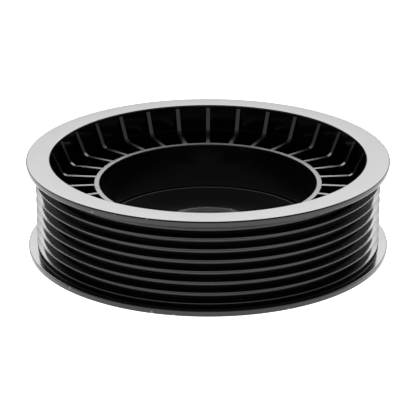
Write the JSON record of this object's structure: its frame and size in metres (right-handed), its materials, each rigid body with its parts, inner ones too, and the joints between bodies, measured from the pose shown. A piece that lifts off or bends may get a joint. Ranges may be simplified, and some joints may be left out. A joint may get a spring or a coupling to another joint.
{
  "type": "electromagnetic clutch",
  "caption": "Compressor clutch with a black moulded poly-V pulley, steel rotor on a ball bearing, fixed field coil, and a hub with a sprung armature plate.",
  "frame": {"origin": "on the clutch's axis, in the plane it stands on, hub side down", "axes": "+Z along the axis towards the compressor; -Y towards the coil's terminal"},
  "size_m": [0.1186, 0.1186, 0.0406],
  "materials": {
    "moulded_resin": "glossy moulded black",
    "coated_steel": "satin black electro-coat",
    "friction_compound": "matt, porous",
    "machined_steel": "turned",
    "plated_steel": "zinc plated",
    "rivet_steel": "bright",
    "spring_steel": "blued",
    "bearing_steel": "ground and polished",
    "cage_nylon": "natural nylon",
    "seal_rubber": "matt rubber",
    "copper_wire": "enamelled copper",
    "potting_resin": "cast resin",
    "terminal_plastic": "moulded nylon",
    "tinned_brass": "tinned"
  },
  "bodies": {
    "field": {"carrier_sleeve": "machined_steel", "bearing_inner_ring": "bearing_steel", "bearing_snap_ring": "spring_steel", "field_shell": "coated_steel", "coil_bobbin": "cage_nylon", "coil_winding": "copper_wire", "coil_potting": "potting_resin", "terminal_housing": "terminal_plastic", "terminal_blades": "tinned_brass", "locating_pin": "machined_steel"},
    "pulley": {"pulley_body": "moulded_resin", "rotor": "coated_steel", "friction_lining": "friction_compound", "bearing_outer_ring": "bearing_steel", "bearing_seal_front": "seal_rubber", "bearing_seal_rear": "seal_rubber"},
    "ball_cage": {"bearing_cage": "cage_nylon", "bearing_balls": "bearing_steel"},
    "hub": {"hub": "plated_steel", "hub_rivets": "rivet_steel", "hub_shim": "plated_steel", "leaf_spring_1": "spring_steel", "leaf_spring_2": "spring_steel", "leaf_spring_3": "spring_steel"},
    "armature": {"armature_plate": "plated_steel", "armature_rivets": "rivet_steel"}
  },
  "joints": [
    {"name": "pulley_spin", "type": "hinge", "parent": "field", "child": "pulley", "pos_m": [0, 0, 0.0102], "axis": [0, 0, 1], "continuous": true},
    {"name": "cage_spin", "type": "hinge", "parent": "field", "child": "ball_cage", "pos_m": [0, 0, 0.0102], "axis": [0, 0, 1], "continuous": true},
    {"name": "hub_spin", "type": "hinge", "parent": "field", "child": "hub", "pos_m": [0, 0, 0.0059], "axis": [0, 0, 1], "continuous": true},
    {"name": "armature_slide", "type": "slide", "parent": "hub", "child": "armature", "axis": [0, 0, 1], "range_m": [0, 0.0005], "stiffness_N_per_m": 8000, "springref_m": -0.002, "deforming": ["leaf_spring_1", "leaf_spring_2", "leaf_spring_3"]}
  ],
  "couplings": [
    {"joint": "cage_spin", "follows": "pulley_spin", "ratio": 0.54861}
  ]
}
